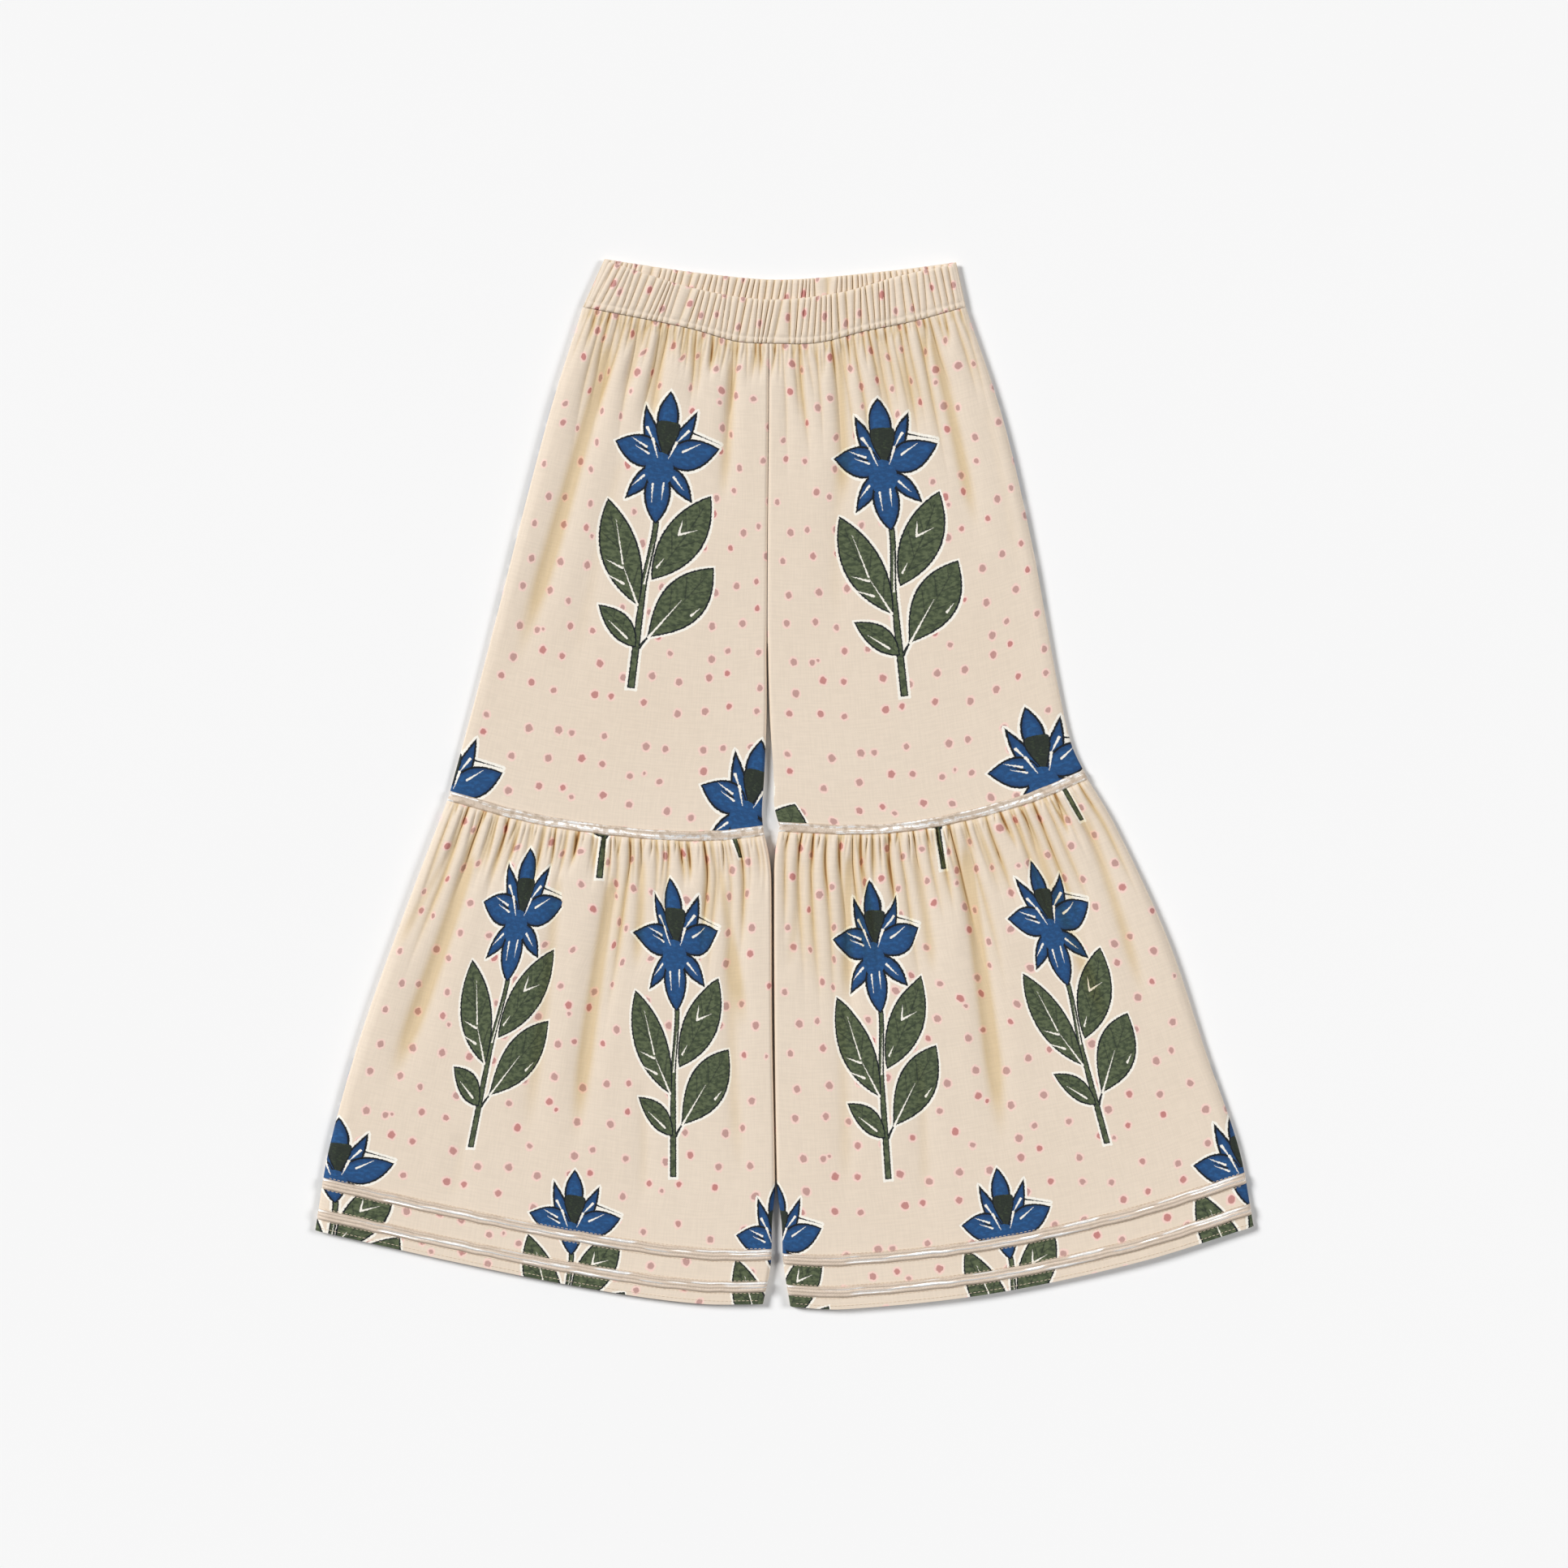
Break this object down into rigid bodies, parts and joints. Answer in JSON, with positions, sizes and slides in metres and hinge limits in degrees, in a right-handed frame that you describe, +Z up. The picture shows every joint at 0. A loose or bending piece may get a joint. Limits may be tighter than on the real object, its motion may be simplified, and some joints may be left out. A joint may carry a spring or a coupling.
{
  "type": "sharara trousers",
  "caption": "Child's sharara trousers in printed cotton, laid flat on their back: ruched elastic waistband, straight upper legs, gathered flounces and metallic braid on the seams and hems.",
  "frame": {"origin": "centre of the bounding box in plan, on the surface that the trousers lie on", "axes": "+Z up from the surface, out of the garment's front; +Y from the hems to the waist; +X to the wearer's left"},
  "size_m": [0.5786, 0.6472, 0.0071],
  "materials": {
    "printed_cotton": "matt plain weave, cream, with a block print of blue flower sprigs and dusty pink dots",
    "metallic_braid": "narrow woven braid with silver and pale gold threads"
  },
  "bodies": {
    "root": {"waistband_front": "printed_cotton", "waistband_back": "printed_cotton", "leg_front_right": "printed_cotton", "leg_back_right": "printed_cotton", "leg_front_left": "printed_cotton", "leg_back_left": "printed_cotton", "flounce_front_right": "printed_cotton", "flounce_back_right": "printed_cotton", "flounce_front_left": "printed_cotton", "flounce_back_left": "printed_cotton", "seam_braid_right": "metallic_braid", "seam_braid_left": "metallic_braid", "hem_braid_upper_right": "metallic_braid", "hem_braid_upper_left": "metallic_braid", "hem_braid_lower_right": "metallic_braid", "hem_braid_lower_left": "metallic_braid"}
  },
  "joints": []
}
